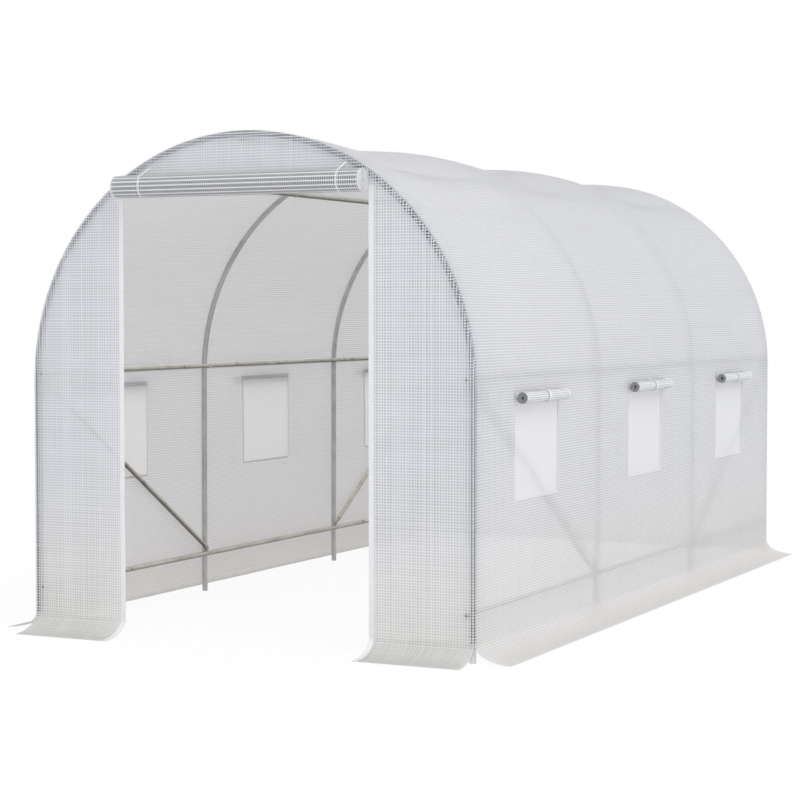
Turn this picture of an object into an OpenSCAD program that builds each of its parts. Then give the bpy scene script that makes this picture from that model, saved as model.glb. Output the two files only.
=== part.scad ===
// Walk-in polytunnel: round-topped steel hoops under a woven film cover.
// Millimetres, +Z up. The front faces -Y. The origin is on the ground, in the middle of the plan.

/* [Hoops] */
// Radius of the arch, at the middle of the tube
arch_r = 985; // [850:5:1200]
// Height of the straight legs, where the arch starts
leg_h = 1040; // [900:5:1200]
// Distance from hoop to hoop
bay_len = 1330; // [1100:10:1600]
// Diameter of the hoop tube
hoop_d = 25; // [22:0.5:32]

/* [Bars] */
// Diameter of the bars that run along the tunnel
bar_d = 20; // [16:0.5:25]
// Wall of the bars' tube
tube_wall = 1; // [0.6:0.1:2]
// Height of the low bars
low_bar_z = 180; // [160:5:300]
// Height of the middle bars above the start of the arch
middle_bar_rise = 30; // [0:5:80]
// Slope of the arch where a shoulder bar crosses it, from level
shoulder_deg = 59; // [35:1:70]
// Diameter of the slanting braces
brace_d = 20; // [16:0.5:25]
// Length of a brace's flattened end, from its bolt to the round tube
tab_len = 45; // [36:1:60]
// Thickness of a brace's flattened end
tab_t = 3; // [2:0.5:5]

/* [Cover] */
// Thickness of the cover
film_t = 2; // [1:0.5:3]
// How far the flared skirt reaches along the ground
skirt_reach = 150; // [100:5:200]
// Height at which the skirt leaves the wall
skirt_h = 72; // [50:2:110]

/* [Doorway] */
// Clear width of the doorway
door_w = 1110; // [800:10:1200]
// Height of the wall over the doorway, up to the crown of the cover
door_head = 230; // [200:5:400]
// Width of the hem along each side of the doorway
hem_w = 22; // [12:1:40]
// Thickness of the hem
hem_t = 1.5; // [0.5:0.5:3]
// Diameter of the rolled door
door_roll_d = 95; // [70:1:120]
// Length of the rolled door
door_roll_len = 1156; // [900:2:1300]
// How far the rolled door hangs below the top of the doorway
door_roll_drop = 29; // [10:1:50]
// Distance of the door ties from the middle
door_tie_x = 444; // [300:2:480]
// How far to the right of the middle the two ties are set
door_tie_shift = 16; // [0:2:20]
// Width of a door tie
door_tie_w = 12; // [8:1:30]

/* [Windows] */
// Width of a window
window_w = 450; // [300:5:600]
// Height of a window
window_h = 398; // [300:2:440]
// Distance from the start of the arch down to the windows
window_drop = 52; // [46:1:150]
// How far the windows sit forward of the middle of their bay
window_forward = 50; // [0:5:60]
// Width of the sewn margin of a window screen
screen_margin = 15; // [8:1:30]
// Thickness of a window screen
screen_t = 1; // [0.5:0.5:2]
// Diameter of a rolled window flap
flap_roll_d = 55; // [40:1:70]
// Length of a rolled window flap
flap_roll_len = 480; // [320:5:640]
// Width of a window tie
window_tie_w = 24; // [10:1:40]

/* [Rolled film] */
// Thickness of the ties that hold the rolls
tie_t = 1.2; // [0.8:0.2:2]
// Distance from turn to turn in a roll
roll_pitch = 5; // [3.5:0.5:6]
// Number of turns in the rolled door
door_roll_turns = 6; // [3:1:6]
// Number of turns in a rolled window flap
flap_roll_turns = 3; // [2:1:3]

/* [Hidden] */
$fn = 96;
bay_count = 3;
seat_gap = 0.3;
// The roof is made in strips. Facets along each bay, and round each strip
roof_strips = 6;
bay_steps = 10;
arc_steps = 4;
arc_span = 180 / roof_strips;
roll_step_deg = 15;
skirt_step_deg = 7.5;
cut_over = 1;

hoop_r = hoop_d / 2;
frame_half = bay_count * bay_len / 2;
hoop_y = [for (k = [0:bay_count]) -frame_half + k * bay_len];

// The cover lies just outside the hoops
film_in = arch_r + hoop_r + seat_gap;
film_out = film_in + film_t;
cover_half = frame_half + hoop_r + seat_gap;
cover_end = cover_half + film_t;
// Between the hoops the roof sinks until it lies on the ridge bar
roof_sag = hoop_d + seat_gap;

// The bars run along the inside of the hoops
bar_seat = arch_r - hoop_r - seat_gap - bar_d / 2;
bar_half = frame_half + hoop_r;
middle_bar_z = leg_h + middle_bar_rise;
middle_bar_x = sqrt(pow(bar_seat, 2) - pow(middle_bar_rise, 2));
ridge_bar_z = leg_h + bar_seat;

// A brace ends beside a bar, with its tab flat against the hoop
tab_w = brace_d + 4;
tab_clear = 2;
brace_x = arch_r - hoop_r - seat_gap - tab_t / 2;
brace_top_z = middle_bar_z - bar_d / 2 - tab_w / 2 - tab_clear;
brace_foot_z = low_bar_z + bar_d / 2 + tab_w / 2 + tab_clear;

window_top = leg_h - window_drop;
window_sill = window_top - window_h;
window_y = [for (k = [0:bay_count - 1]) hoop_y[k] + bay_len / 2 - window_forward];
door_h = leg_h + film_out - door_head;
flap_roll_x = film_out + seat_gap + tie_t + seat_gap + flap_roll_d / 2;
door_roll_y = -(cover_end + seat_gap + tie_t + seat_gap + door_roll_d / 2);
door_roll_z = door_h - door_roll_drop + door_roll_d / 2;

steel = "#8f8d85";
film_white = "#e3e4e8";
screen_white = "#eef0f2";
tape_white = "#f5f5f7";

// Stations along the tunnel, closest together between the hoops
function stations() = concat(
    [-cover_half],
    [for (k = [0:bay_count * bay_steps]) -frame_half + k * bay_len / bay_steps],
    [cover_half]
);

// Share of the full sag at a station: none at a hoop, all of it in the middle of a bay
function sag_share(y) = abs(y) >= frame_half ? 0 : (1 - cos(360 * (y + frame_half) / bay_len)) / 2;

// Inner radius of the roof, which sags less towards the upright walls
function roof_r(angle, y) = film_in - roof_sag * sin(angle) * sag_share(y);

function roof_point(angle, y, depth) =
    let (r = roof_r(angle, y) + depth) [r * cos(angle), y, leg_h + r * sin(angle)];

// Points of a spiral, wound in from the outer radius
function spiral(outer_r, turns, depth) = [
    for (a = [0:roll_step_deg:360 * turns])
        let (r = outer_r - roll_pitch * a / 360 - depth) [r * cos(a), r * sin(a)]
];

// A point of the skirt's section, at a depth outside its inner face
function skirt_point(turn, depth) =
    let (out = [skirt_h * cos(turn), skirt_reach * sin(turn)])
    [skirt_reach * (1 - cos(turn)), skirt_h * (1 - sin(turn))] + out * depth / norm(out);

function reversed(list) = [for (k = [len(list) - 1:-1:0]) list[k]];

// A bar that lies along the tunnel, open at both ends
module along_tube(d, half_len) {
    rotate([90, 0, 0]) difference() {
        cylinder(d = d, h = 2 * half_len, center = true);
        cylinder(d = d - 2 * tube_wall, h = 2 * half_len + cut_over, center = true);
    }
}

module legs(y) {
    color(steel) for (side = [-1, 1]) translate([side * arch_r, y, 0]) cylinder(d = hoop_d, h = leg_h);
}

module arch(y) {
    color(steel) translate([0, y, leg_h]) rotate([90, 0, 0])
        rotate_extrude(angle = 180) translate([arch_r, 0]) circle(d = hoop_d);
}

module ridge_bar() {
    color(steel) translate([0, 0, ridge_bar_z]) along_tube(bar_d, bar_half);
}

module shoulder_bar(side) {
    color(steel) translate([side * bar_seat * cos(shoulder_deg), 0, leg_h + bar_seat * sin(shoulder_deg)])
        along_tube(bar_d, bar_half);
}

module middle_bar(side) {
    color(steel) translate([side * middle_bar_x, 0, middle_bar_z]) along_tube(bar_d, bar_half);
}

module low_bar(side) {
    color(steel) translate([side * bar_seat, 0, low_bar_z]) along_tube(bar_d, bar_half);
}

// The end of a brace: a tube pressed flat, rounded off round its bolt
module brace_end() {
    rotate([0, 90, 0]) cylinder(d = tab_w, h = tab_t, center = true);
    translate([-tab_t / 2, -tab_w / 2, 0]) cube([tab_t, tab_w, tab_w / 2]);
    hull() {
        translate([0, 0, tab_len]) cylinder(d = brace_d, h = tab_t, $fn = 32);
        translate([-tab_t / 2, -tab_w / 2, tab_w / 2 - tab_t]) cube([tab_t, tab_w, tab_t]);
    }
}

// A brace in an end bay, from the middle bar at the end hoop to the low bar at the next hoop
module brace(side, end) {
    run = bay_len;
    fall = brace_top_z - brace_foot_z;
    length = sqrt(pow(run, 2) + pow(fall, 2));
    color(steel) translate([side * brace_x, end * frame_half, brace_top_z])
        rotate([end * (90 + atan2(fall, run)), 0, 0]) {
            translate([0, 0, tab_len]) cylinder(d = brace_d, h = length - 2 * tab_len);
            brace_end();
            translate([0, 0, length]) rotate([180, 0, 0]) brace_end();
        }
}

module braces(side) {
    for (end = [-1, 1]) brace(side, end);
}

// The outline of an end wall above the skirt: upright sides and a round top
module end_outline() {
    translate([-film_out, skirt_h]) square([2 * film_out, leg_h - skirt_h]);
    intersection() {
        translate([0, leg_h]) circle(r = film_out, $fn = 180);
        translate([-film_out, leg_h]) square([2 * film_out, film_out + cut_over]);
    }
}

// Stands an outline up as a sheet of the end wall at -Y or +Y
module end_sheet(end) {
    color(film_white) translate([0, end > 0 ? cover_end : -cover_half, 0]) rotate([90, 0, 0])
        linear_extrude(height = film_t) children();
}

module front_wall_side(side) {
    end_sheet(-1) intersection() {
        end_outline();
        translate([side > 0 ? door_w / 2 : -door_w / 2 - film_out, 0])
            square([film_out, leg_h + film_out + cut_over]);
    }
}

module front_wall_top() {
    end_sheet(-1) intersection() {
        end_outline();
        translate([-door_w / 2, door_h]) square([door_w, film_out]);
    }
}

module back_wall() {
    end_sheet(1) end_outline();
}

// An upright side of the cover, with its window openings cut through
module side_wall(side) {
    color(film_white) translate([side > 0 ? film_in : -film_out, 0, 0]) difference() {
        translate([0, -cover_half, skirt_h]) cube([film_t, 2 * cover_half, leg_h - skirt_h]);
        for (y = window_y) translate([-cut_over, y - window_w / 2, window_sill])
            cube([film_t + 2 * cut_over, window_w, window_h]);
    }
}

// A strip of the roof, counted round from the right, sagging between the hoops
module roof(strip) {
    rows = stations();
    cols = [for (k = [0:arc_steps]) (strip + k / arc_steps) * arc_span];
    nr = len(rows);
    nc = len(cols);
    layer = nr * nc;
    points = [
        for (depth = [film_t, 0]) for (y = rows) for (a = cols) roof_point(a, y, depth)
    ];
    function at(r, c, inner) = inner * layer + r * nc + c;
    skin = [for (r = [0:nr - 2]) for (c = [0:nc - 2]) for (inner = [0, 1])
        let (quad = [at(r, c, inner), at(r, c + 1, inner), at(r + 1, c + 1, inner), at(r + 1, c, inner)])
        for (tri = [[quad[0], quad[1], quad[2]], [quad[0], quad[2], quad[3]]])
            inner == 1 ? reversed(tri) : tri];
    side_edges = [for (r = [0:nr - 2]) for (c = [0, nc - 1])
        let (quad = [at(r, c, 0), at(r + 1, c, 0), at(r + 1, c, 1), at(r, c, 1)])
        for (tri = [[quad[0], quad[1], quad[2]], [quad[0], quad[2], quad[3]]])
            c == 0 ? tri : reversed(tri)];
    end_edges = [for (c = [0:nc - 2]) for (r = [0, nr - 1])
        let (quad = [at(r, c, 0), at(r, c, 1), at(r, c + 1, 1), at(r, c + 1, 0)])
        for (tri = [[quad[0], quad[1], quad[2]], [quad[0], quad[2], quad[3]]])
            r == 0 ? tri : reversed(tri)];
    color(film_white) polyhedron(points = points, faces = concat(skin, side_edges, end_edges));
}

// Section of a skirt: a quarter of an ellipse that leaves the wall upright and meets the ground flat
module skirt_section(inset, thick) {
    turns = [0:skirt_step_deg:90];
    polygon(concat(
        [for (a = turns) skirt_point(a, inset)],
        reversed([for (a = turns) skirt_point(a, inset + thick)])
    ));
}

module side_skirt(side) {
    color(film_white) mirror([side > 0 ? 0 : 1, 0, 0]) translate([film_in, cover_half, 0])
        rotate([90, 0, 0]) linear_extrude(height = 2 * cover_half) skirt_section(0, film_t);
}

// A length of skirt, or of the hem on it, at an end wall
module end_skirt(end, from_x, to_x, inset = 0, thick = film_t) {
    mirror([0, end > 0 ? 0 : 1, 0]) translate([from_x, cover_half, 0]) rotate([90, 0, 90])
        linear_extrude(height = to_x - from_x) skirt_section(inset, thick);
}

module front_skirt(side) {
    color(film_white) mirror([side > 0 ? 0 : 1, 0, 0]) end_skirt(-1, door_w / 2, film_out);
}

// White tape down the edge of the doorway and out along the skirt
module door_hem(side) {
    color(tape_white) mirror([side > 0 ? 0 : 1, 0, 0]) {
        translate([door_w / 2, -cover_end - hem_t, skirt_h]) cube([hem_w, hem_t, door_h - skirt_h]);
        end_skirt(-1, door_w / 2, door_w / 2 + hem_w, film_t, hem_t);
    }
}

module window_screens(side) {
    color(screen_white) for (y = window_y)
        translate([
            side > 0 ? film_in - screen_t : -film_in,
            y - window_w / 2 - screen_margin,
            window_sill - screen_margin
        ]) cube([screen_t, window_w + 2 * screen_margin, window_h + 2 * screen_margin]);
}

// A sheet rolled up on itself, standing on the ground plane
module rolled_sheet(d, len, turns) {
    linear_extrude(height = len, center = true)
        polygon(concat(spiral(d / 2, turns, 0), reversed(spiral(d / 2, turns, film_t))));
}

module tie(d, width) {
    difference() {
        cylinder(r = d / 2 + seat_gap + tie_t, h = width, center = true);
        cylinder(r = d / 2 + seat_gap, h = width + cut_over, center = true);
    }
}

module window_rolls(side) {
    color(film_white) mirror([side > 0 ? 0 : 1, 0, 0]) for (y = window_y)
        translate([flap_roll_x, y, window_top]) rotate([90, 0, 0])
            rolled_sheet(flap_roll_d, flap_roll_len, flap_roll_turns);
}

module window_ties(side) {
    color(tape_white) mirror([side > 0 ? 0 : 1, 0, 0]) for (y = window_y)
        translate([flap_roll_x, y, window_top]) rotate([90, 0, 0]) tie(flap_roll_d, window_tie_w);
}

module door_roll() {
    color(film_white) translate([0, door_roll_y, door_roll_z]) rotate([0, 90, 0])
        rolled_sheet(door_roll_d, door_roll_len, door_roll_turns);
}

module door_ties() {
    color(tape_white) for (side = [-1, 1])
        translate([side * door_tie_x + door_tie_shift, door_roll_y, door_roll_z]) rotate([0, 90, 0])
            tie(door_roll_d, door_tie_w);
}

legs(hoop_y[0]);  // front_legs
legs(hoop_y[1]);  // second_legs
legs(hoop_y[2]);  // third_legs
legs(hoop_y[3]);  // back_legs
arch(hoop_y[0]);  // front_arch
arch(hoop_y[1]);  // second_arch
arch(hoop_y[2]);  // third_arch
arch(hoop_y[3]);  // back_arch
ridge_bar();
shoulder_bar(-1);  // left_shoulder_bar
shoulder_bar(1);  // right_shoulder_bar
middle_bar(-1);  // left_middle_bar
middle_bar(1);  // right_middle_bar
low_bar(-1);  // left_low_bar
low_bar(1);  // right_low_bar
braces(-1);  // left_braces
braces(1);  // right_braces
front_wall_side(-1);  // front_wall_left
front_wall_side(1);  // front_wall_right
front_wall_top();
back_wall();
side_wall(-1);  // left_wall
side_wall(1);  // right_wall
roof(5);  // roof_left_lower
roof(4);  // roof_left_middle
roof(3);  // roof_left_upper
roof(2);  // roof_right_upper
roof(1);  // roof_right_middle
roof(0);  // roof_right_lower
side_skirt(-1);  // left_skirt
side_skirt(1);  // right_skirt
color(film_white) end_skirt(1, -film_out, film_out);  // back_skirt
front_skirt(-1);  // front_left_skirt
front_skirt(1);  // front_right_skirt
window_screens(-1);  // left_window_screens
window_screens(1);  // right_window_screens
window_rolls(-1);  // left_window_rolls
window_rolls(1);  // right_window_rolls
window_ties(-1);  // left_window_ties
window_ties(1);  // right_window_ties
door_roll();
door_ties();
door_hem(-1);  // left_door_hem
door_hem(1);  // right_door_hem
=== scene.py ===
"""Walk-in polytunnel: woven film cover, rolled door and flaps, nets and fittings on the steel frame."""
import math

import bpy
import numpy as np
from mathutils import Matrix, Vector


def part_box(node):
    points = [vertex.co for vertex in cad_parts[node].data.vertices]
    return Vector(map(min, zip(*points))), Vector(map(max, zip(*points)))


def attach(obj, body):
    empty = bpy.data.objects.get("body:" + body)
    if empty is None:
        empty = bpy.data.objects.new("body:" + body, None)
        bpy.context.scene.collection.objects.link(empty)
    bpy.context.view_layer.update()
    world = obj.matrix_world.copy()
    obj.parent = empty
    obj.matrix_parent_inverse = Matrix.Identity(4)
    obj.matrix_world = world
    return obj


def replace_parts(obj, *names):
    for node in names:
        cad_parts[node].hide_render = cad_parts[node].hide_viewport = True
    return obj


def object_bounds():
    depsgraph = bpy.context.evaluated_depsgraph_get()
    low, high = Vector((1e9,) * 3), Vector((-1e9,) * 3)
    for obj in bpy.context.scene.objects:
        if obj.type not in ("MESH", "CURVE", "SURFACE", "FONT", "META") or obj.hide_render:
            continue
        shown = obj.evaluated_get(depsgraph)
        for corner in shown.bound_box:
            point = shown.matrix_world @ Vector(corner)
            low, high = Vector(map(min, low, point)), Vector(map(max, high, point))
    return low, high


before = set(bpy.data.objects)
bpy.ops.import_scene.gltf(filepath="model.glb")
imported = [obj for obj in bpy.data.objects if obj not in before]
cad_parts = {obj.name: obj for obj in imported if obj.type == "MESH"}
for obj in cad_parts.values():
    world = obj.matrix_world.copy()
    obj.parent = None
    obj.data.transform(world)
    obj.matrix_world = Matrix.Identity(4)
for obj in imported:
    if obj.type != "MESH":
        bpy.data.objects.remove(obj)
cad_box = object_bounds()

# Sizes in metres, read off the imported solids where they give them
FILM_OFF = 0.0001
wall_lo, wall_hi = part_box("right_wall")
FILM_X = wall_lo[0] + FILM_OFF
LEG_H = wall_hi[2]
SKIRT_TOP = wall_lo[2]
END_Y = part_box("back_wall")[0][1] + FILM_OFF
head_lo, head_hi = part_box("front_wall_top")
DOOR_X = head_hi[0]
DOOR_Z = head_lo[2]
HOOPS = ("front", "second", "third", "back")
HOOP_Y = [sum(corner[1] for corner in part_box(f"{hoop}_legs")) / 2 for hoop in HOOPS]
BAY = HOOP_Y[1] - HOOP_Y[0]
GROUND_GAP = 0.001
SKIRT_REACH = cad_box[1][0] - FILM_X
SKIRT_TURNS = np.linspace(0, math.pi / 2, 10)

# Width over which the film lies tight on a hoop, and how far it sags, bows and wavers between the hoops
TUBE_BAND = 0.022
ROOF_SAG = 0.0253
WALL_BOW = 0.004
FILM_UNREST = 0.0016

# How far an end wall stands out, and the distances from arch, legs and skirt over which that grows
END_PUFF = 0.0022
ARCH_EASE = 0.25
LEG_EASE = 0.1
SKIRT_EASE = 0.7

# Windows
WINDOW_W = 0.450
WINDOW_H = 0.398
WINDOW_DROP = 0.052
WINDOW_FORWARD = 0.050
WINDOW_TOP = LEG_H - WINDOW_DROP
WINDOW_SILL = WINDOW_TOP - WINDOW_H
WINDOW_Y = [y + BAY / 2 - WINDOW_FORWARD for y in HOOP_Y[:3]]

# The two sides, and the bars
SIDES = ((1, "right"), (-1, "left"))
BARS = ["ridge", *(f"{side}_{at}" for side in ("left", "right") for at in ("shoulder", "middle", "low"))]


def middle(name):
    """Middle of a node's box."""
    lo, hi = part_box(name)
    return [(a + b) / 2 for a, b in zip(lo, hi)]


# Where the bars' axes run, the bars' radius, and the radius of the film that their ends press on
BAR_AT = {bar: middle(f"{bar}_bar") for bar in BARS}
BAR_R = (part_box("ridge_bar")[1][2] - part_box("ridge_bar")[0][2]) / 2
BAR_PRESS = BAR_R - 0.002

# Weave: distance from thread to thread, and width of a thread
ROW_PITCH = 0.0110
COLUMN_PITCH = 0.0117
ROW_W = 0.0044
COLUMN_W = 0.0047

# Unevenness of the threads, as a share of their width
COVER_UNEVEN = 0.05
END_UNEVEN = 0.30
END_ROW_UNEVEN = 0.18

# How far the threads of the two directions stand off the film
UNDER_LIFT = 0.0004
OVER_LIFT = 0.0007

rng = np.random.default_rng(7)


# Meshes

class Shape:
    """Points and faces gathered for one piece, each face with a number for its material."""

    def __init__(self):
        self.points, self.faces, self.kinds, self.count = [], [], [], 0

    def add(self, points, quads, kind=0):
        points = np.asarray(points, float).reshape(-1, 3)
        quads = np.asarray(quads, int)
        self.points.append(points)
        self.faces.append(quads + self.count)
        self.kinds.append(np.full(len(quads), kind))
        self.count += len(points)

    def grid(self, points, keep=None, kind=0, flip=False):
        """A sheet of quads over rows and columns of points."""
        rows, cols = points.shape[:2]
        r, c = np.meshgrid(np.arange(rows - 1), np.arange(cols - 1), indexing="ij")
        a = r * cols + c
        quads = np.stack([a, a + cols, a + cols + 1, a + 1], -1)
        if flip:
            quads = quads[..., ::-1]
        quads = quads[keep] if keep is not None else quads.reshape(-1, 4)
        self.add(points, quads, kind)

    def make(self, name, materials, slot, smooth=True):
        points = np.concatenate(self.points)
        quads = np.concatenate(self.faces)
        used, quads = np.unique(quads, return_inverse=True)
        quads = quads.reshape(-1, 4)
        mesh = bpy.data.meshes.new(name)
        mesh.from_pydata(points[used].tolist(), [], quads.tolist())
        for material in materials:
            mesh.materials.append(material)
        mesh.polygons.foreach_set("material_index", np.concatenate(self.kinds).astype(np.int32))
        mesh.polygons.foreach_set("use_smooth", np.full(len(quads), smooth))
        mesh.update()
        piece = bpy.data.objects.new(name, mesh)
        bpy.context.scene.collection.objects.link(piece)
        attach(piece, "root")
        return piece


def slab(shape, a, b, out, thick, kind=0):
    """A closed flat band between two rows of edge points, standing off along the outward directions."""
    lift = np.asarray(out) * thick
    corners = [a, b, b + lift, a + lift]
    for k in range(4):
        shape.grid(np.stack([corners[k], corners[(k + 1) % 4]]), kind=kind)
    for j, order in ((0, (0, 3, 2, 1)), (-1, (0, 1, 2, 3))):
        shape.add([corners[k][j] for k in order], [[0, 1, 2, 3]], kind)


def between(table, where, values):
    """Rows of a table of points, read off between its rows at the given values."""
    t = np.interp(values, where, np.arange(len(where)))
    i = np.minimum(t.astype(int), len(where) - 2)
    f = (t - i)[:, None, None]
    return table[i] * (1 - f) + table[i + 1] * f


def ribbons(shape, table, where, centres, width, keep=None):
    """Flat threads laid on a table of points, at the given places between its rows."""
    left = between(table, where, centres - width / 2)
    right = between(table, where, centres + width / 2)
    for k in range(len(centres)):
        shape.grid(np.stack([left[k], right[k]]), None if keep is None else keep[k][None, :])


def spread(lo, hi, pitch):
    """Thread centres at about the given pitch, with half a pitch left at both ends."""
    n = max(int(round((hi - lo) / pitch)), 1)
    return lo + (np.arange(n) + 0.5) * (hi - lo) / n


def woven(lo, hi, pitch, width, uneven):
    """Thread centres and widths, with the small unevenness of a real weave."""
    centres = spread(lo, hi, pitch)
    shifts = rng.uniform(-0.4, 0.4, len(centres)) * uneven * pitch
    return centres + shifts, width * rng.uniform(1 - uneven, 1 + uneven, len(centres))


def merged(values, fixed, gap):
    """A sorted list with all the fixed values, and the others where they keep a gap from those."""
    values = [v for v in values if min(abs(v - f) for f in fixed) > gap]
    return np.array(sorted(set(values) | set(fixed)))


# Materials

# Heights over which the colour turns from warm to cool, the film from that of the walls to that of the roof,
# and the legs from bare foot to tube, where a tube painted dark for shade gets its steel tone back at the
# foot
WARM_Z = (0.05, 0.62)
ROOF_Z = (1.0, 1.6)
FOOT_Z = (0.060, 0.075)

# How clear the film is where it is pressed on something
PRESSED = 0.95


def new_material(name):
    material = bpy.data.materials.new(name)
    material.use_nodes = True
    tree = material.node_tree
    tree.nodes.clear()
    out = tree.nodes.new("ShaderNodeOutputMaterial")
    return material, tree, out


def node(tree, kind, links=(), **values):
    made = tree.nodes.new(kind)
    for key, value in values.items():
        if hasattr(made, key):
            setattr(made, key, value)
        else:
            made.inputs[key.replace("_", " ")].default_value = value
    for socket, source in dict(links).items():
        tree.links.new(source, made.inputs[socket])
    return made


def ranged(tree, value, start, stop, first, last):
    """A value that runs from first to last while another runs from start to stop."""
    made = node(tree, "ShaderNodeMapRange", {"Value": value})
    for socket, number in (("From Min", start), ("From Max", stop), ("To Min", first), ("To Max", last)):
        made.inputs[socket].default_value = number
    return made.outputs[0]


def tinted(tree, top, low, spots, amount):
    """A colour that is warmer near the ground, with a slow cloudiness."""
    place = node(tree, "ShaderNodeTexCoord").outputs["Object"]
    height = node(tree, "ShaderNodeSeparateXYZ", {"Vector": place}).outputs["Z"]
    base = node(tree, "ShaderNodeMix", {"Factor": ranged(tree, height, *WARM_Z, 0, 1)}, data_type="RGBA")
    base.inputs["A"].default_value = (*low, 1)
    base.inputs["B"].default_value = (*top, 1)
    cloud = node(tree, "ShaderNodeTexNoise", {"Vector": place}, Scale=spots, Detail=3.0)
    shade = ranged(tree, cloud.outputs["Fac"], 0, 1, 1 - amount, 1 + amount)
    mixed = node(tree, "ShaderNodeVectorMath", {0: base.outputs["Result"], "Scale": shade}, operation="SCALE")
    return place, mixed.outputs[0]


def bar_ends(tree, place):
    """One where the end of a bar presses on the film of an end wall, and none elsewhere."""
    spots = None
    for x, _, z in BAR_AT.values():
        away = node(tree, "ShaderNodeVectorMath", {0: place}, operation="SUBTRACT")
        away.inputs[1].default_value = (x, 0, z)
        flat = node(tree, "ShaderNodeVectorMath", {0: away.outputs[0]}, operation="MULTIPLY")
        flat.inputs[1].default_value = (1, 0, 1)
        far = node(tree, "ShaderNodeVectorMath", {0: flat.outputs[0]}, operation="LENGTH")
        spot = node(tree, "ShaderNodeMath", {0: far.outputs["Value"]}, operation="LESS_THAN")
        spot.inputs[1].default_value = BAR_PRESS
        if spots is not None:
            spot = node(tree, "ShaderNodeMath", {0: spot.outputs[0], 1: spots}, operation="MAXIMUM")
        spots = spot.outputs[0]
    return spots


def film_material(name, top, low, clear, gloss, high=None, ends=False):
    """Hazy clear film: it passes nearly all light, most of it scattered, so only what touches it shows.
    Where high is given, the roof is that clear and the walls keep the other value. Film of the end walls
    is clearer on the ends of the bars."""
    material, tree, out = new_material(name)
    place, colour = tinted(tree, top, low, 6.0, 0.02)
    ripple = node(tree, "ShaderNodeTexNoise", {"Vector": place}, Scale=160.0, Detail=2.0)
    bump = node(tree, "ShaderNodeBump", {"Height": ripple.outputs["Fac"]}, Strength=0.25, Distance=0.0006)
    haze = node(tree, "ShaderNodeBsdfTranslucent", {"Color": colour})
    through = node(tree, "ShaderNodeBsdfTransparent", Color=(*top, 1))
    pane = node(tree, "ShaderNodeMixShader", {1: haze.outputs[0], 2: through.outputs[0]}, Fac=clear)
    if high is not None:
        height = node(tree, "ShaderNodeSeparateXYZ", {"Vector": place}).outputs["Z"]
        tree.links.new(ranged(tree, height, *ROOF_Z, clear, high), pane.inputs["Fac"])
    if ends:
        tree.links.new(ranged(tree, bar_ends(tree, place), 0, 1, clear, PRESSED), pane.inputs["Fac"])
    skin = node(tree, "ShaderNodeBsdfPrincipled", {"Base Color": colour, "Normal": bump.outputs[0]},
                Roughness=0.3)
    mix = node(tree, "ShaderNodeMixShader", {1: pane.outputs[0], 2: skin.outputs[0]}, Fac=gloss)
    tree.links.new(mix.outputs[0], out.inputs["Surface"])
    return material


def thread_material(name, top, low, through, warm=0.93):
    """White plastic tape that lets some light through, a little warmed."""
    material, tree, out = new_material(name)
    place, colour = tinted(tree, top, low, 9.0, 0.03)
    grain = node(tree, "ShaderNodeTexNoise", {"Vector": place}, Scale=420.0, Detail=2.0)
    bump = node(tree, "ShaderNodeBump", {"Height": grain.outputs["Fac"]}, Strength=0.3, Distance=0.0004)
    body = node(tree, "ShaderNodeBsdfPrincipled", {"Base Color": colour, "Normal": bump.outputs[0]},
                Roughness=0.42)
    glow = node(tree, "ShaderNodeBsdfTranslucent", Color=(top[0], top[1] * (1 + warm) / 2, top[2] * warm, 1))
    mix = node(tree, "ShaderNodeMixShader", {1: body.outputs[0], 2: glow.outputs[0]}, Fac=through)
    tree.links.new(mix.outputs[0], out.inputs["Surface"])
    return material


def cloth_material(name, colour, scale, rough=0.7):
    """Woven tape, with a fine rib both ways."""
    material, tree, out = new_material(name)
    place = node(tree, "ShaderNodeTexCoord").outputs["Object"]
    cloud = node(tree, "ShaderNodeTexNoise", {"Vector": place}, Scale=35.0, Detail=3.0)
    ramp = node(tree, "ShaderNodeMix", {"Factor": cloud.outputs["Fac"]}, data_type="RGBA")
    ramp.inputs["A"].default_value = (*(c * 0.94 for c in colour), 1)
    ramp.inputs["B"].default_value = (*(min(c * 1.04, 1.0) for c in colour), 1)
    up = node(tree, "ShaderNodeTexWave", {"Vector": place}, Scale=scale, bands_direction="Z")
    across = node(tree, "ShaderNodeTexWave", {"Vector": place}, Scale=scale, bands_direction="X")
    weave = node(tree, "ShaderNodeMath", operation="MULTIPLY")
    tree.links.new(up.outputs["Fac"], weave.inputs[0])
    tree.links.new(across.outputs["Fac"], weave.inputs[1])
    bump = node(tree, "ShaderNodeBump", {"Height": weave.outputs[0]}, Strength=0.4, Distance=0.0004)
    body = node(tree, "ShaderNodeBsdfPrincipled",
                {"Base Color": ramp.outputs["Result"], "Normal": bump.outputs[0]}, Roughness=rough)
    tree.links.new(body.outputs[0], out.inputs["Surface"])
    return material


def outward(tree, place, normal):
    """How far a hoop's surface faces away from the tunnel: one straight out, and minus one inwards."""
    above = node(tree, "ShaderNodeVectorMath", {0: place}, operation="SUBTRACT")
    above.inputs[1].default_value = (0, 0, LEG_H)
    arch = node(tree, "ShaderNodeVectorMath", {0: above.outputs[0]}, operation="MAXIMUM")
    arch.inputs[1].default_value = (-9, -9, 0)
    flat = node(tree, "ShaderNodeVectorMath", {0: arch.outputs[0]}, operation="MULTIPLY")
    flat.inputs[1].default_value = (1, 0, 1)
    ray = node(tree, "ShaderNodeVectorMath", {0: flat.outputs[0]}, operation="NORMALIZE")
    facing = node(tree, "ShaderNodeVectorMath", {0: ray.outputs[0], 1: normal}, operation="DOT_PRODUCT")
    return facing.outputs["Value"]


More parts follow.
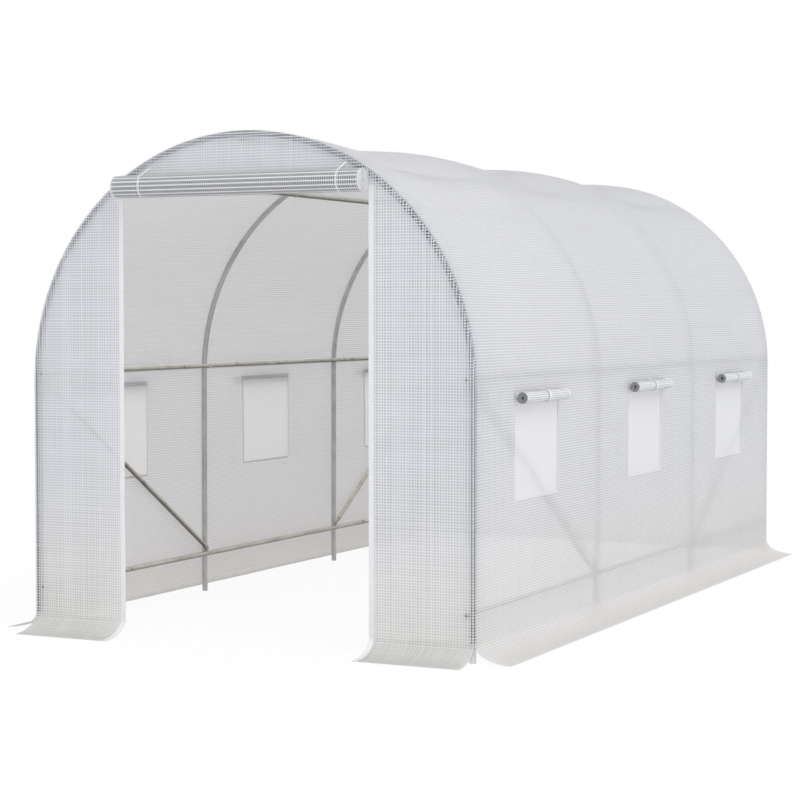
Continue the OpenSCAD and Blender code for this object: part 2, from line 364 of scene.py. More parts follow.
def steel_material(name, dark, light, metal, rough, under=1.0, foot=1.0, outer=1.0):
    """Zinc-coated tube: faint spangle, streaks and a soft sheen, painted shade on the underside and a painted
    highlight on the top, a brighter bare foot where the painted shade of a darkened tube stops, and on the
    side that faces the film painted light (outer above one) and painted shade (outer below one)."""
    material, tree, out = new_material(name)
    place = node(tree, "ShaderNodeTexCoord").outputs["Object"]
    cells = node(tree, "ShaderNodeTexVoronoi", {"Vector": place}, Scale=220.0)
    cloud = node(tree, "ShaderNodeTexNoise", {"Vector": place}, Scale=14.0, Detail=5.0)
    blend = node(tree, "ShaderNodeMath", operation="MULTIPLY_ADD")
    tree.links.new(cells.outputs["Distance"], blend.inputs[0])
    blend.inputs[1].default_value = 0.35
    tree.links.new(cloud.outputs["Fac"], blend.inputs[2])
    ramp = node(tree, "ShaderNodeValToRGB", {"Fac": blend.outputs[0]})
    ramp.color_ramp.elements[0].position = 0.30
    ramp.color_ramp.elements[0].color = (*dark, 1)
    ramp.color_ramp.elements[1].position = 0.80
    ramp.color_ramp.elements[1].color = (*light, 1)
    normal = node(tree, "ShaderNodeNewGeometry").outputs["Normal"]
    facing = node(tree, "ShaderNodeSeparateXYZ", {"Vector": normal})
    # painted shade and highlight: the colour is scaled from under where the surface faces down to two minus
    # under where it faces up
    painted_facing_shade = ranged(tree, facing.outputs["Z"], -0.6, 0.5, under, 2 - under)
    height = node(tree, "ShaderNodeSeparateXYZ", {"Vector": place})
    # foot scales the colour of the foot; for the tube painted dark for shade it brings the steel tone back
    # there
    bare = ranged(tree, height.outputs["Z"], *FOOT_Z, foot, 1)
    tone = node(tree, "ShaderNodeMath", {0: painted_facing_shade, 1: bare}, operation="MULTIPLY")
    # painted light (outer above one) and painted shade (outer below one) on the side that faces the film
    if outer != 1.0:
        painted_light_and_shade_film_side = ranged(tree, outward(tree, place, normal), 0.15, 0.6, 1, outer)
        tone = node(tree, "ShaderNodeMath", {0: tone.outputs[0], 1: painted_light_and_shade_film_side}, operation="MULTIPLY")
    toned = {0: ramp.outputs[0], "Scale": tone.outputs[0]}
    colour = node(tree, "ShaderNodeVectorMath", toned, operation="SCALE")
    gloss = ranged(tree, cloud.outputs["Fac"], 0, 1, rough - 0.08, rough + 0.08)
    bump = node(tree, "ShaderNodeBump", {"Height": cells.outputs["Distance"]}, Strength=0.12, Distance=0.0004)
    body = node(tree, "ShaderNodeBsdfPrincipled",
                {"Base Color": colour.outputs[0], "Roughness": gloss, "Normal": bump.outputs[0]},
                Metallic=metal)
    tree.links.new(body.outputs[0], out.inputs["Surface"])
    return material


TOP_WHITE = (0.868, 0.897, 0.955)
LOW_WHITE = (0.895, 0.89, 0.87)
film = film_material("hazy_film", (0.845, 0.848, 0.860), (0.92, 0.905, 0.87), 0.30, 0.03, ends=True)
cover_film = film_material("cover_film", (0.890, 0.880, 0.872), (0.96, 0.945, 0.92), 0.29, 0.03, 0.24)
# painted shade: the skirts of the end walls are a darker grey copy of the film
skirt_film_painted_shade = film_material("skirt_film_painted_shade", (0.765, 0.765, 0.745), (0.765, 0.765, 0.745), 0.10, 0.03)
tight_film = film_material("film_on_tube", (0.90, 0.90, 0.91), (0.90, 0.89, 0.86), PRESSED, 0.02)
end_thread = thread_material("end_thread", TOP_WHITE, LOW_WHITE, 0.31)
thread = thread_material("white_thread", TOP_WHITE, (0.885, 0.886, 0.888), 0.31, 0.88)
# painted shade: the clear film of the rolls is coloured near black for the shade between its turns
roll_film_painted_shade = cloth_material("rolled_film_painted_shade", (0.050, 0.054, 0.064), 60.0, 0.4)
# painted shade: the film ends of the window rolls are a darker grey than those of the door roll
roll_end_painted_shade = cloth_material("roll_end_painted_shade", (0.36, 0.365, 0.38), 60.0, 0.5)
door_end = cloth_material("door_roll_end", (0.70, 0.71, 0.74), 60.0, 0.6)
roll_thread = thread_material("roll_thread", (0.84, 0.855, 0.885), LOW_WHITE, 0.1)
net = thread_material("net_thread", (0.955, 0.97, 1.0), (0.955, 0.97, 1.0), 0.45, 1.0)
net_cloth = thread_material("net_cloth", (0.972, 0.985, 1.0), (0.972, 0.985, 1.0), 0.5, 0.90)
window_tape = thread_material("window_tape", (0.93, 0.935, 0.955), (0.93, 0.935, 0.955), 0.35, 0.95)
stitch = cloth_material("stitching", (0.80, 0.80, 0.81), 400.0)
tape = cloth_material("white_tape", (0.83, 0.835, 0.855), 190.0)
plug = cloth_material("black_plug", (0.012, 0.012, 0.013), 90.0, 0.5)
# hoops: painted shade below, painted highlight on top, painted light on the side that faces the film
steel = steel_material("galvanised_tube", (0.34, 0.34, 0.345), (0.54, 0.54, 0.545), 0.5, 0.32,
                       under=0.85, outer=1.3)
# bars and braces: strong painted shade below, painted highlight on top, painted shade on the side that faces
# the film
bar_steel = steel_material("bar_tube", (0.28, 0.265, 0.22), (0.50, 0.485, 0.43), 0.4, 0.30,
                           under=0.30, outer=0.55)
# painted shade: the front hoop's tube is coloured near black for the shade it shows through the film pressed
# on it
shaded_end_steel = steel_material("end_tube_painted_shade", (0.022, 0.022, 0.024), (0.075, 0.075, 0.078), 0.35, 0.40, foot=11.0)
zinc = steel_material("zinc_bolt", (0.35, 0.35, 0.34), (0.62, 0.62, 0.60), 0.9, 0.35)


# Cover: one sheet from the right skirt, over the hoops, to the left skirt

def skirt_section():
    """The flare of a skirt from its edge up to the wall: reach, height and outward direction."""
    turn = SKIRT_TURNS[::-1]
    reach = SKIRT_REACH * (1 - np.cos(turn))
    height = GROUND_GAP + (SKIRT_TOP - GROUND_GAP) * (1 - np.sin(turn))
    out = np.stack([SKIRT_TOP * np.cos(turn), SKIRT_REACH * np.sin(turn)], -1)
    out /= np.linalg.norm(out, axis=1)[:, None]
    length = np.concatenate([[0], np.cumsum(np.hypot(np.diff(reach), np.diff(height)))])
    return reach, height, out, length


SKIRT_OUT, SKIRT_UP, SKIRT_DIR, SKIRT_LEN = skirt_section()
ARC = SKIRT_LEN[-1]


def sag_share(y):
    """None at a hoop, all of it in the middle of a bay."""
    share = (1 - np.cos(2 * math.pi * (y - HOOP_Y[0]) / BAY)) / 2
    return np.where(np.abs(y) >= HOOP_Y[-1], 0, share)


def section():
    """Half of the cover's section: points, outward direction, roof share and wall share."""
    rows = []
    for reach, height, out in list(zip(SKIRT_OUT, SKIRT_UP, SKIRT_DIR))[:-1]:
        rows.append((FILM_X + reach, height, out[0], out[1], 0, 0))
    edges = [SKIRT_TOP, WINDOW_SILL, WINDOW_TOP, LEG_H]
    for z in merged(np.linspace(SKIRT_TOP, LEG_H, 14), edges, 0.02)[:-1]:
        rows.append((FILM_X, z, 1, 0, 0, math.sin(math.pi * (z - SKIRT_TOP) / (LEG_H - SKIRT_TOP))))
    for turn in np.linspace(0, math.pi / 2, 27):
        x, z = math.cos(turn), math.sin(turn)
        rows.append((FILM_X * x, LEG_H + FILM_X * z, x, z, z, 0))
    return np.array(rows)


half = section()
other = half[-2::-1] * [-1, 1, -1, 1, 1, 1]
ring = np.concatenate([half, other])
along_s = np.concatenate([[0], np.cumsum(np.hypot(np.diff(ring[:, 0]), np.diff(ring[:, 1])))])
window_edges = [y + side * WINDOW_W / 2 for y in WINDOW_Y for side in (-1, 1)]
stations = np.concatenate([np.linspace(a, b, 17) for a, b in zip(HOOP_Y, HOOP_Y[1:])])
tube_edges = [side * (END_Y - TUBE_BAND) for side in (-1, 1)]
along_y = merged(stations, [-END_Y, END_Y, *HOOP_Y, *tube_edges, *window_edges], 0.02)

drift = [(rng.uniform(2, 9), rng.uniform(3, 12), rng.uniform(0, 6.3), rng.uniform(0, 6.3)) for _ in range(7)]


def unrest(s, y):
    """Slow unevenness of the film, between -1 and 1."""
    return sum(np.sin(a * s + p) * np.sin(b * y + q) for a, b, p, q in drift) / len(drift)


def cover_points(lift):
    s, y = along_s[:, None], along_y[None, :]
    share = sag_share(y)
    out = lift - ROOF_SAG * ring[:, 4:5] * share - WALL_BOW * ring[:, 5:6] * share
    out = out + FILM_UNREST * unrest(s, y) * share
    x = ring[:, 0:1] + ring[:, 2:3] * out
    z = ring[:, 1:2] + ring[:, 3:4] * out
    return np.stack([x, np.broadcast_to(y, x.shape), np.maximum(z, GROUND_GAP)], -1)


def s_at(z, side):
    """Distance along the section at a height on the right or left wall."""
    right = ARC + (z - SKIRT_TOP)
    return right if side > 0 else along_s[-1] - right


def in_window(s, y):
    hit = np.zeros(np.broadcast(s, y).shape, bool)
    for side in (1, -1):
        lo, hi = sorted((s_at(WINDOW_SILL, side), s_at(WINDOW_TOP, side)))
        for yc in WINDOW_Y:
            hit |= (s > lo) & (s < hi) & (np.abs(y - yc) < WINDOW_W / 2)
    return hit


def cover_at(s, y, lift):
    """Points of the cover at paired places, stood off by a lift."""
    rows = between(cover_points(lift), along_s, s)
    return np.array([[np.interp(v, along_y, row[:, i]) for i in range(3)] for row, v in zip(rows, y)])


def middles(values):
    return (values[1:] + values[:-1]) / 2


def build_cover():
    sheet = Shape()
    s, y = middles(along_s)[:, None], middles(along_y)[None, :]
    tight = (np.abs(y) > END_Y - TUBE_BAND) & (s > ARC) & (s < along_s[-1] - ARC)
    sheet.grid(cover_points(0), ~in_window(s, y) & ~tight)
    sheet.grid(cover_points(0), tight, kind=1)
    piece = sheet.make("cover_film", [cover_film, tight_film], "cover")
    weave = Shape()
    lengthwise, widths = woven(0, along_s[-1], ROW_PITCH, ROW_W, COVER_UNEVEN)
    beside = ~in_window(lengthwise[:, None], middles(along_y)[None, :])
    ribbons(weave, cover_points(OVER_LIFT), along_s, lengthwise, widths, beside)
    ribbons(weave, cover_points(-UNDER_LIFT), along_s, lengthwise, widths / 2, beside)
    crosswise, widths = woven(-END_Y, END_Y, COLUMN_PITCH, COLUMN_W, COVER_UNEVEN)
    ribbons(weave, cover_points(UNDER_LIFT).transpose(1, 0, 2), along_y, crosswise, widths,
            ~in_window(middles(along_s)[None, :], crosswise[:, None]))
    threads = weave.make("cover_threads", [thread], "cover")
    nodes = [f"roof_{side}_{part}" for side in ("left", "right") for part in ("lower", "middle", "upper")]
    nodes += [f"{side}_{part}" for side in ("left", "right") for part in ("wall", "skirt")]
    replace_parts(piece, *nodes)
    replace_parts(threads, *nodes)


# End walls, each with its skirt

def arch_z(x):
    return LEG_H + np.sqrt(np.maximum(FILM_X ** 2 - np.asarray(x) ** 2, 0))


def arch_x(z):
    return FILM_X if z <= LEG_H else math.sqrt(max(FILM_X ** 2 - (z - LEG_H) ** 2, 0))


def end_points(x, v, end, lift):
    """Points of an end wall over x, at a distance v up from the skirt's edge."""
    low = np.clip(v, 0, ARC)
    out, up = np.interp(low, SKIRT_LEN, SKIRT_DIR[:, 0]), np.interp(low, SKIRT_LEN, SKIRT_DIR[:, 1])
    y = END_Y + np.interp(low, SKIRT_LEN, SKIRT_OUT) + lift * out
    z = np.interp(low, SKIRT_LEN, SKIRT_UP) + np.maximum(v - ARC, 0) + lift * up
    edge = np.minimum(np.clip((arch_z(x) - z) / ARCH_EASE, 0, 1), np.clip((FILM_X - abs(x)) / LEG_EASE, 0, 1))
    rise = np.clip((v - ARC) / SKIRT_EASE, 0, 1)
    y = y + END_PUFF * rise * rise * (3 - 2 * rise) * edge * (1 + unrest(1.5 * x + 5, z))
    return np.stack(np.broadcast_arrays(x, end * y, z), -1)


def skirt_v(z):
    return ARC + z - SKIRT_TOP


def v_rows(top, steps):
    return np.concatenate([SKIRT_LEN, np.linspace(ARC, skirt_v(top), steps + 1)[1:]])


def end_sheet(shape, x_rows, end, low_z=None):
    """A field of film under the arch, down to the ground or to a given height."""
    rows = []
    for x in x_rows:
        top = float(arch_z(x))
        band = LEG_H + math.sqrt(max((FILM_X - TUBE_BAND) ** 2 - x * x, 0))
        band = min(band, top - 0.001)
        if low_z is None:
            v = np.append(v_rows(band, 20), skirt_v(top))
        else:
            v = np.append(np.linspace(skirt_v(low_z), skirt_v(band), 6), skirt_v(top))
        rows.append(end_points(np.full(len(v), x), v, end, 0))
    rows = np.array(rows)
    mid = (rows[:-1, :-1] + rows[1:, :-1] + rows[:-1, 1:] + rows[1:, 1:]) / 4
    reach = np.hypot(mid[..., 0], np.maximum(mid[..., 2] - LEG_H, 0))
    skirt = mid[..., 2] < SKIRT_TOP
    tight = (reach > FILM_X - TUBE_BAND) & ~skirt
    for kind, keep in enumerate((~tight & ~skirt, tight, skirt)):
        shape.grid(rows, keep, kind=kind, flip=end < 0)


def uprights(shape, lo, hi, end, low_z=None):
    """The upright threads of a field of an end wall."""
    for x, width in zip(*woven(lo, hi, COLUMN_PITCH, COLUMN_W, END_UNEVEN)):
        edges = []
        for xe in (x - width / 2, x + width / 2):
            top = float(arch_z(xe))
            v = v_rows(top, 20) if low_z is None else np.linspace(skirt_v(low_z), skirt_v(top), 6)
            edges.append(end_points(np.full(len(v), xe), v, end, UNDER_LIFT))
        shape.grid(np.array(edges))


def level(shape, v, width, end, spans):
    """One level thread of an end wall, over each given span that the arch leaves."""
    for lo, hi, steps in spans:
        edges = []
        for ve in (v - width / 2, v + width / 2):
            reach = arch_x(SKIRT_TOP + ve - ARC)
            x = np.linspace(max(lo, -reach), min(hi, reach), steps + 1)
            edges.append(end_points(x, np.full(len(x), ve), end, OVER_LIFT))
        shape.grid(np.array(edges))


def arch_rows(lo, hi, steps):
    """Places across an end wall, evenly spaced round the arch, with the tube's edges among them."""
    even = FILM_X * np.cos(np.linspace(math.acos(lo / FILM_X), math.acos(hi / FILM_X), steps))
    edges = [e for e in (TUBE_BAND - FILM_X, FILM_X - TUBE_BAND) if lo < e < hi]
    return merged(even, [lo, hi, *edges], 0.004)


def build_end(end):
    name = "back" if end > 0 else "front"
    sheet, weave = Shape(), Shape()
    crown = skirt_v(LEG_H + FILM_X)
    if end > 0:
        end_sheet(sheet, arch_rows(-FILM_X, FILM_X, 65), end)
        uprights(weave, -FILM_X, FILM_X, end)
    else:
        for side in (-1, 1):
            field = sorted((side * FILM_X, side * DOOR_X))
            end_sheet(sheet, arch_rows(*field, 22), end)
            uprights(weave, *field, end)
        end_sheet(sheet, arch_rows(-DOOR_X, DOOR_X, 30), end, DOOR_Z)
        uprights(weave, -DOOR_X, DOOR_X, end, DOOR_Z)
    for v, width in zip(*woven(0, crown - ROW_W, ROW_PITCH, ROW_W, END_ROW_UNEVEN)):
        whole = end > 0 or v > skirt_v(DOOR_Z)
        spans = [(-FILM_X, FILM_X, 44)] if whole else [(-FILM_X, -DOOR_X, 10), (DOOR_X, FILM_X, 10)]
        level(weave, v, width, end, spans)
    piece = sheet.make(f"{name}_panel_film", [film, tight_film, skirt_film_painted_shade], "cover")
    threads = weave.make(f"{name}_panel_threads", [end_thread], "cover")
    nodes = ["back_wall", "back_skirt"] if end > 0 else [
        "front_wall_left", "front_wall_right", "front_wall_top", "front_left_skirt", "front_right_skirt"]
    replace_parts(piece, *nodes)
    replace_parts(threads, *nodes)
    area = 2 * FILM_X * skirt_v(LEG_H) + math.pi * FILM_X ** 2 / 2
    if end < 0:
        area -= 2 * DOOR_X * skirt_v(DOOR_Z)


# Rolled sheets: the door over the doorway and a flap over each window

# Points in the free end of a rolled sheet
TAIL = 5

# How the sheets are rolled: radius at the core, distance from turn to turn, thickness, how far the free end
# stays under the top, bands at both ends as (distance from the end, material), and the weave as row pitch,
# row width, column pitch and column width
DOOR_ROLL = {"inner": 0.005, "pitch": 0.0035, "thick": 0.0024, "under": 0.004, "bands": [(0.006, 1)],
             "weave": (0.0172, 0.0048, 0.0097, 0.0038)}
FLAP_ROLL = {"inner": 0.006, "pitch": 0.0042, "thick": 0.0026, "under": 0.002,
             "bands": [(0.004, 3), (0.016, 1)], "weave": (0.0085, 0.0052, 0.0110, 0.0060)}

# Length of a flap, and how much shorter and further left the door is than its solid
FLAP_LENGTH = 0.480
DOOR_SHORT = 0.042
DOOR_SHIFT = 0.002


def wound(outer, inner, pitch, tail, step=math.radians(15)):
    """Path of a rolled sheet: down its free end behind the roll, under it, and round inwards."""
    turns = np.arange(math.pi, math.pi + 2 * math.pi * (outer - inner) / pitch, step)
    r = outer - pitch * (turns - math.pi) / (2 * math.pi)
    coil = np.stack([r * np.cos(turns), r * np.sin(turns)], -1)
    drop = np.array([[-outer, h] for h in np.linspace(tail, 0, TAIL)[:-1]])
    path = np.concatenate([drop, coil])
    run = np.gradient(path, axis=0)
    run /= np.linalg.norm(run, axis=1)[:, None]
    return path, np.stack([run[:, 1], -run[:, 0]], -1)


def build_roll(name, stands_for, centre, axis, out, length, outer, kind, end_material):
    """A rolled sheet along an axis, with its threads on the outermost turn."""
    centre, axis, out = (np.array(v, float) for v in (centre, axis, out))
    up = np.array([0, 0, 1.0])
    thick, bands, tail = kind["thick"], kind["bands"], outer - kind["under"]
    path, side = wound(outer - thick / 2, kind["inner"], kind["pitch"], tail)

    def place(p, a):
        return centre + p[:, 0:1] * out + p[:, 1:2] * up + a * axis

    cuts = [-length / 2, *(-length / 2 + d for d, _ in bands)]
    cuts = cuts + list(np.linspace(cuts[-1], -cuts[-1], 7)[1:-1]) + [-c for c in reversed(cuts)]
    looks = [k for _, k in bands]
    looks = looks + [0] * (len(cuts) - 1 - 2 * len(looks)) + looks[::-1]
    roll = Shape()
    for look, a, b in zip(looks, cuts, cuts[1:]):
        for sign in (1, -1):
            p = path + side * sign * thick / 2
            strip = np.stack([place(p, a), place(p, b)])
            roll.grid(strip[:, :TAIL], kind=2, flip=sign < 0)
            roll.grid(strip[:, TAIL - 1:], kind=look, flip=sign < 0)
    for sign in (-1, 1):
        a = sign * length / 2
        pair = np.stack([place(path + side * t * thick / 2, a) for t in (1, -1)])
        roll.grid(pair[:, :TAIL], kind=2, flip=sign > 0)
        roll.grid(pair[:, TAIL - 1:], kind=3, flip=sign > 0)
    for j, flip in ((0, True), (-1, False)):
        pair = [np.stack([place((path + side * t * thick / 2)[[j]], a)[0] for a in cuts]) for t in (1, -1)]
        roll.grid(np.stack(pair), kind=0, flip=flip)
    piece = roll.make(name, [roll_film_painted_shade, tape, thread, end_material], "cover")
    dist = np.concatenate([[0], np.cumsum(np.linalg.norm(np.diff(path, axis=0), axis=1))])
    once = tail + 2 * math.pi * outer
    rows, row_w, cols, col_w = kind["weave"]
    weave = Shape()
    skin = path + side * (thick / 2 + UNDER_LIFT)
    seen = dist <= once
    end = length / 2 - bands[-1][0]
    for a in spread(-end, end, cols):
        weave.grid(np.stack([place(skin[seen], a - col_w / 2), place(skin[seen], a + col_w / 2)]))
    skin = path + side * (thick / 2 + OVER_LIFT)
    for d in spread(0, once - rows / 2, rows):
        edge = [np.array([[np.interp(d + e * row_w / 2, dist, skin[:, i]) for i in (0, 1)]]) for e in (-1, 1)]
        weave.grid(np.stack([np.concatenate([place(p, -end), place(p, end)]) for p in edge]))
    threads = weave.make(f"{name}_threads", [roll_thread], "cover")
    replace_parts(piece, stands_for)
    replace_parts(threads, stands_for)


def build_rolls():
    lo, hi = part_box("door_roll")
    x, y, z = middle("door_roll")
    radius = (hi[2] - lo[2]) / 2
    build_roll("rolled_door", "door_roll", (x - DOOR_SHIFT, y, z), (1, 0, 0), (0, -1, 0),
               hi[0] - lo[0] - DOOR_SHORT, radius, DOOR_ROLL, door_end)
    for side, word in SIDES:
        rolls = f"{word}_window_rolls"
        lo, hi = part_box(rolls)
        x, _, z = middle(rolls)
        radius = (hi[2] - lo[2]) / 2
        for k, y in enumerate(WINDOW_Y):
            build_roll(f"{word}_flap_{k + 1}", rolls, (x, y, z), (0, 1, 0),
                       (side, 0, 0), FLAP_LENGTH, radius, FLAP_ROLL, roll_end_painted_shade)


# Window nets, and the tapes round the windows

NET_EDGE = 0.005
NET_PITCH = 0.0032
NET_THREAD = 0.0010

# How far the cloth of a net, its upright threads and its level threads lie inside the film
NET_INSET = 0.0012
UPRIGHT_INSET = 0.0006
LEVEL_INSET = 0.0005


def net_points(side, y, z, inset):
    """Points of a window net, which lies against the inside of the cover."""
    share = sag_share(y)
    s = s_at(z, side)
    bow = WALL_BOW * np.sin(math.pi * (z - SKIRT_TOP) / (LEG_H - SKIRT_TOP)) * share
    x = FILM_X - inset - bow + FILM_UNREST * unrest(s, y) * share
    return np.stack(np.broadcast_arrays(side * x, y, z), -1)


def build_nets():
    for side, word in SIDES:
        mesh = Shape()
        for k, yc in enumerate(WINDOW_Y):
            y_lo, y_hi = yc - WINDOW_W / 2 - NET_EDGE, yc + WINDOW_W / 2 + NET_EDGE
            z_lo, z_hi = WINDOW_SILL - NET_EDGE, WINDOW_TOP + NET_EDGE
            y, z = np.linspace(y_lo, y_hi, 13)[None, :], np.linspace(z_lo, z_hi, 11)[:, None]
            cloth = Shape()
            cloth.grid(net_points(side, y, z, NET_INSET), flip=side < 0)
            piece = cloth.make(f"{word}_net_{k + 1}", [net_cloth], "screen")
            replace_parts(piece, f"{word}_window_screens")
            for v in spread(y_lo, y_hi, NET_PITCH):
                edges = [np.full(11, v + e * NET_THREAD / 2) for e in (-1, 1)]
                mesh.grid(np.stack([net_points(side, at, z[:, 0], UPRIGHT_INSET) for at in edges]))
            for v in spread(z_lo, z_hi, NET_PITCH):
                edges = [np.full(13, v + e * NET_THREAD / 2) for e in (-1, 1)]
                mesh.grid(np.stack([net_points(side, y[0], at, LEVEL_INSET) for at in edges]))
        threads = mesh.make(f"{word}_net_threads", [net], "screen")
        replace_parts(threads, f"{word}_window_screens")


def build_window_tapes():
    """White tape sewn round each window, on the outside of the cover."""
    width, thick, steps = 0.007, 0.0007, 9
    zc = (WINDOW_SILL + WINDOW_TOP) / 2
    for side, word in SIDES:
        shape = Shape()
        out = np.array([[side, 0, 0]] * steps)
        for yc in WINDOW_Y:
            inner = [(yc - WINDOW_W / 2, WINDOW_SILL), (yc + WINDOW_W / 2, WINDOW_SILL),
                     (yc + WINDOW_W / 2, WINDOW_TOP), (yc - WINDOW_W / 2, WINDOW_TOP)]
            outer = [(y + math.copysign(width, y - yc), z + math.copysign(width, z - zc)) for y, z in inner]
            for k in range(4):
                edges = []
                for loop in (inner, outer):
                    (y0, z0), (y1, z1) = loop[k], loop[(k + 1) % 4]
                    t = np.linspace(0, 1, steps)
                    z = z0 + (z1 - z0) * t
                    edges.append(cover_at(s_at(z, side), y0 + (y1 - y0) * t, OVER_LIFT))
                slab(shape, *edges, out, thick)
        shape.make(f"{word}_window_tapes", [window_tape], "tape", smooth=False)


# Door edge tapes and the ties that hold the rolls

# Stitches in the door tapes
STITCH_INSET = 0.004
STITCH_PITCH = 0.0090
STITCH_LENGTH = 0.0060
STITCH_W = 0.0012
STITCH_LIFT = 0.0003

# Ties: width, thickness, and height over the roll's axis from which they hang
DOOR_TIE = (0.008, 0.0010, 0.074)
FLAP_TIE = (0.017, 0.0010, 0.0285)
TIE_GAP = 0.0006
TIE_SHORT = 0.006

# Middle of the two door ties, and how far each is from it
TIE_MID = 0.016
TIE_REACH = 0.444


def build_hems():
    width, thick = 0.022, 0.0012
    for side, word in SIDES:
        shape = Shape()
        v = v_rows(DOOR_Z, 20)
        inner = end_points(np.full(len(v), side * DOOR_X), v, -1, OVER_LIFT)
        outer = end_points(np.full(len(v), side * (DOOR_X + width)), v, -1, OVER_LIFT)
        away = end_points(np.full(len(v), side * DOOR_X), v, -1, OVER_LIFT + 1.0) - inner
        slab(shape, inner, outer, away, thick)
        for inset in (STITCH_INSET, width - STITCH_INSET):
            x = side * (DOOR_X + inset)
            for at in spread(STITCH_INSET, skirt_v(DOOR_Z) - STITCH_INSET, STITCH_PITCH):
                ends = np.array([at - STITCH_LENGTH / 2, at + STITCH_LENGTH / 2])
                edges = [np.full(2, x + e * STITCH_W / 2) for e in (-1, 1)]
                pair = [end_points(edge, ends, -1, OVER_LIFT + thick + STITCH_LIFT) for edge in edges]
                shape.grid(np.stack(pair), kind=1)
        piece = shape.make(f"{word}_door_tape", [tape, stitch], "tape", smooth=False)
        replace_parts(piece, f"{word}_door_hem")


def build_tie(shape, centre, out, along, radius, width, thick, rise):
    """A flat tie: from the wall over a roll, down its front, and up again behind it."""
    centre, out, along = (np.array(v, float) for v in (centre, out, along))
    reach = radius + TIE_GAP
    start = math.atan2(rise, -reach) - math.acos(reach / math.hypot(reach, rise))
    turns = np.linspace(start, -math.pi, 26)
    round_roll = np.stack([np.cos(turns), np.sin(turns)], -1)
    path = np.concatenate([[(-reach, rise)], reach * round_roll, [(-reach, rise - TIE_SHORT)]])
    away = np.concatenate([round_roll[:1], round_roll, [(-1, 0)]])
    up = np.array([0, 0, 1.0])
    spine = centre + path[:, 0:1] * out + path[:, 1:2] * up
    lift = away[:, 0:1] * out + away[:, 1:2] * up
    slab(shape, spine - along * width / 2, spine + along * width / 2, lift, thick)


def build_ties():
    lo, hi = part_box("door_roll")
    _, y, z = middle("door_roll")
    shape = Shape()
    for x in (TIE_MID - TIE_REACH, TIE_MID + TIE_REACH):
        build_tie(shape, (x, y, z), (0, -1, 0), (1, 0, 0), (hi[2] - lo[2]) / 2, *DOOR_TIE)
    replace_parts(shape.make("door_tie_tapes", [tape], "tape"), "door_ties")
    for side, word in SIDES:
        lo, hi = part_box(f"{word}_window_rolls")
        x, _, z = middle(f"{word}_window_rolls")
        shape = Shape()
        for y in WINDOW_Y:
            build_tie(shape, (x, y, z), (side, 0, 0), (0, 1, 0), (hi[2] - lo[2]) / 2, *FLAP_TIE)
        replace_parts(shape.make(f"{word}_flap_tapes", [tape], "tape"), f"{word}_window_ties")


# Bolts where the bars and braces cross the hoops

# Heads: radius and height, and how deep the washers sit in a bar
BAR_BOLT = (0.0052, 0.0048)
BRACE_BOLT = (0.0055, 0.0050)
BOLT_SINK = 0.0004

# The flat ends of the braces: place, thickness, and distance of a hole from the end
BRACE_X = 0.9707
BRACE_TAB = 0.003
BRACE_END = 0.012


def bolt(shape, at, out, radius, height):
    """A domed head with six flats on a washer, standing off along its outward direction."""
    out = np.array(out, float)
    side = np.cross(out, (0, 1, 0))
    side /= np.linalg.norm(side)
    fore = np.cross(out, side)
    rings = [(1.5, 0.0, 24), (1.5, 0.22, 24), (1.0, 0.22, 6), (1.0, 0.85, 6), (0.8, 1.0, 6), (0.02, 1.08, 6)]
    loops = []
    for share, rise, flats in rings:
        turn = 2 * math.pi * np.arange(25) / 24
        flat = math.cos(math.pi / 6) / np.cos((turn % (math.pi / 3)) - math.pi / 6) if flats == 6 else 1.0
        r = (radius * share * flat)[:, None] if flats == 6 else radius * share
        loops.append(np.array(at) + r * (np.cos(turn)[:, None] * side + np.sin(turn)[:, None] * fore)
                     + out * rise * height)
    shape.grid(np.array(loops), flip=True)


def build_bolts():
    shape = Shape()
    for x, _, z in BAR_AT.values():
        inward = np.array([-x, 0, min(LEG_H - z, 0)])
        inward /= np.linalg.norm(inward)
        for y in HOOP_Y:
            bolt(shape, np.array([x, y, z]) + inward * (BAR_R - BOLT_SINK), inward, *BAR_BOLT)
    face = BRACE_X - BRACE_TAB / 2
    for side, word in SIDES:
        lo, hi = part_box(f"{word}_braces")
        for high, low in ((HOOP_Y[0], HOOP_Y[1]), (HOOP_Y[-1], HOOP_Y[-2])):
            for y, z in ((high, hi[2] - BRACE_END), (low, lo[2] + BRACE_END)):
                bolt(shape, (side * face, y, z), (-side, 0, 0), *BRACE_BOLT)
    shape.make("bolts", [zinc], "steel", smooth=False)


def build_plugs():
    """A black plug in both ends of every bar."""
    shape = Shape()
    turn = 2 * math.pi * np.arange(25) / 24
    inside, rim, centre = BAR_R - 0.0011, BAR_R - 0.0001, 0.0002
    deep, proud = 0.008, -0.00025
    steps = [(centre, deep), (inside, deep), (inside, 0), (rim, 0), (rim, proud), (centre, proud)]
    for bar, (x, _, z) in BAR_AT.items():
        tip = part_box(f"{bar}_bar")[1][1]
        for end in (-1, 1):
            loops = []
            for r, back in steps:
                y = np.full(25, end * (tip - back))
                loops.append(np.stack([x + r * np.cos(turn), y, z + r * np.sin(turn)], -1))
            shape.grid(np.array(loops), flip=end < 0)
    shape.make("bar_plugs", [plug], "cover", smooth=False)


# Stage

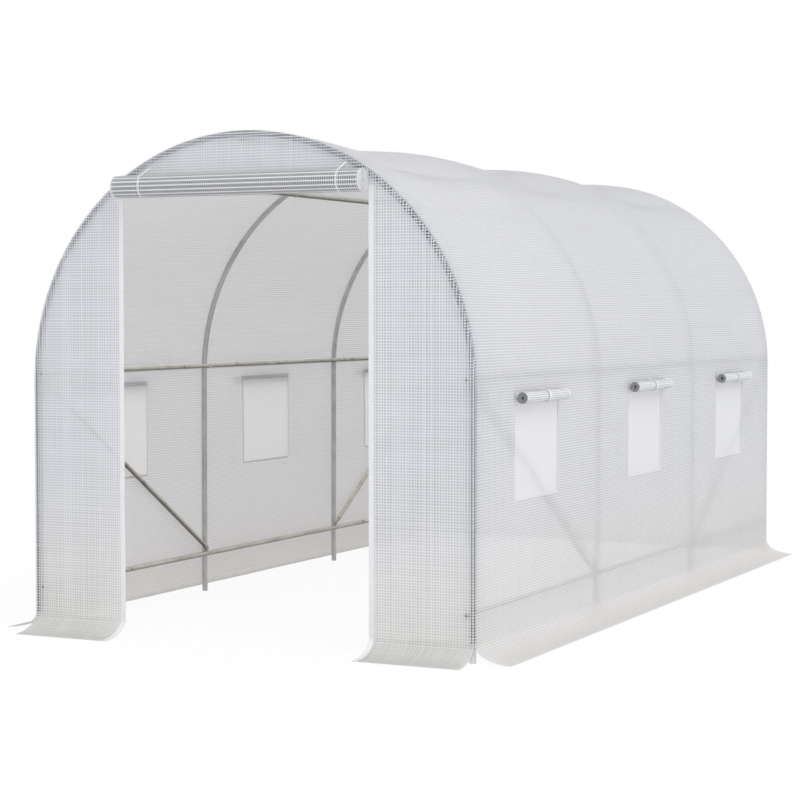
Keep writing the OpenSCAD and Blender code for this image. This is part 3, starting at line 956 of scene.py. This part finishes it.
def build_stage():
    material, tree, out = new_material("floor_white")
    rays = node(tree, "ShaderNodeLightPath").outputs
    direct = {0: rays["Is Camera Ray"], 1: rays["Is Glossy Ray"]}
    seen = node(tree, "ShaderNodeMath", direct, operation="MAXIMUM")
    paper = node(tree, "ShaderNodeBsdfDiffuse", Color=(0.88, 0.88, 0.88, 1))
    glow = node(tree, "ShaderNodeEmission", Color=(1, 1, 1, 1), Strength=1.0)
    share = node(tree, "ShaderNodeMath", {0: seen.outputs[0]}, operation="MULTIPLY")
    share.inputs[1].default_value = 0.92
    mix = node(tree, "ShaderNodeMixShader", {0: share.outputs[0], 1: paper.outputs[0], 2: glow.outputs[0]})
    tree.links.new(mix.outputs[0], out.inputs["Surface"])
    mesh = bpy.data.meshes.new("floor")
    far = 60.0
    low = -0.0005
    corners = [(-far, -far, low), (far, -far, low), (far, far, low), (-far, far, low)]
    mesh.from_pydata(corners, [], [(0, 1, 2, 3)])
    mesh.materials.append(material)
    floor = bpy.data.objects.new("floor", mesh)
    bpy.context.scene.collection.objects.link(floor)

    world = bpy.data.worlds.new("studio")
    bpy.context.scene.world = world
    world.use_nodes = True
    tree = world.node_tree
    tree.nodes.clear()
    out = tree.nodes.new("ShaderNodeOutputWorld")
    rays = node(tree, "ShaderNodeLightPath").outputs
    strength = ranged(tree, rays["Is Camera Ray"], 0, 1, 0.88, 1)
    sky = node(tree, "ShaderNodeBackground", {"Strength": strength}, Color=(1, 1, 1, 1))
    tree.links.new(sky.outputs[0], out.inputs["Surface"])

    lamp = bpy.data.lights.new("key", "SUN")
    lamp.energy = 1.0
    lamp.angle = math.radians(35)
    key = bpy.data.objects.new("key", lamp)
    key.rotation_euler = (math.radians(15), math.radians(36), 0)
    bpy.context.scene.collection.objects.link(key)


def build_camera():
    lens = bpy.data.cameras.new("camera")
    lens.lens = 93.6
    lens.sensor_fit = "HORIZONTAL"
    lens.sensor_width = 36.0
    eye = bpy.data.objects.new("camera", lens)
    eye.location = (4.10605, -9.14521, 1.32585)
    eye.rotation_euler = (math.pi / 2 - 0.04249, 0, 0.44678)
    bpy.context.scene.collection.objects.link(eye)
    bpy.context.scene.camera = eye


def dress_frame():
    """Steel on the solids of the hoops, bars and braces, which stay as they are."""
    looks = {f"{hoop}_{part}": steel for hoop in HOOPS[1:] for part in ("legs", "arch")}
    # the front hoop takes the tube painted near black for shade
    looks.update({"front_legs": shaded_end_steel, "front_arch": shaded_end_steel})
    looks.update({f"{bar}_bar": bar_steel for bar in BARS})
    looks.update({f"{word}_braces": bar_steel for _, word in SIDES})
    for name, look in looks.items():
        materials = bpy.data.objects[name].data.materials
        materials.clear()
        materials.append(look)


build_camera()
build_stage()
dress_frame()
build_cover()
build_end(-1)
build_end(1)
build_rolls()
build_nets()
build_window_tapes()
build_hems()
build_ties()
build_bolts()
build_plugs()

bpy.context.scene.view_settings.view_transform = "Standard"
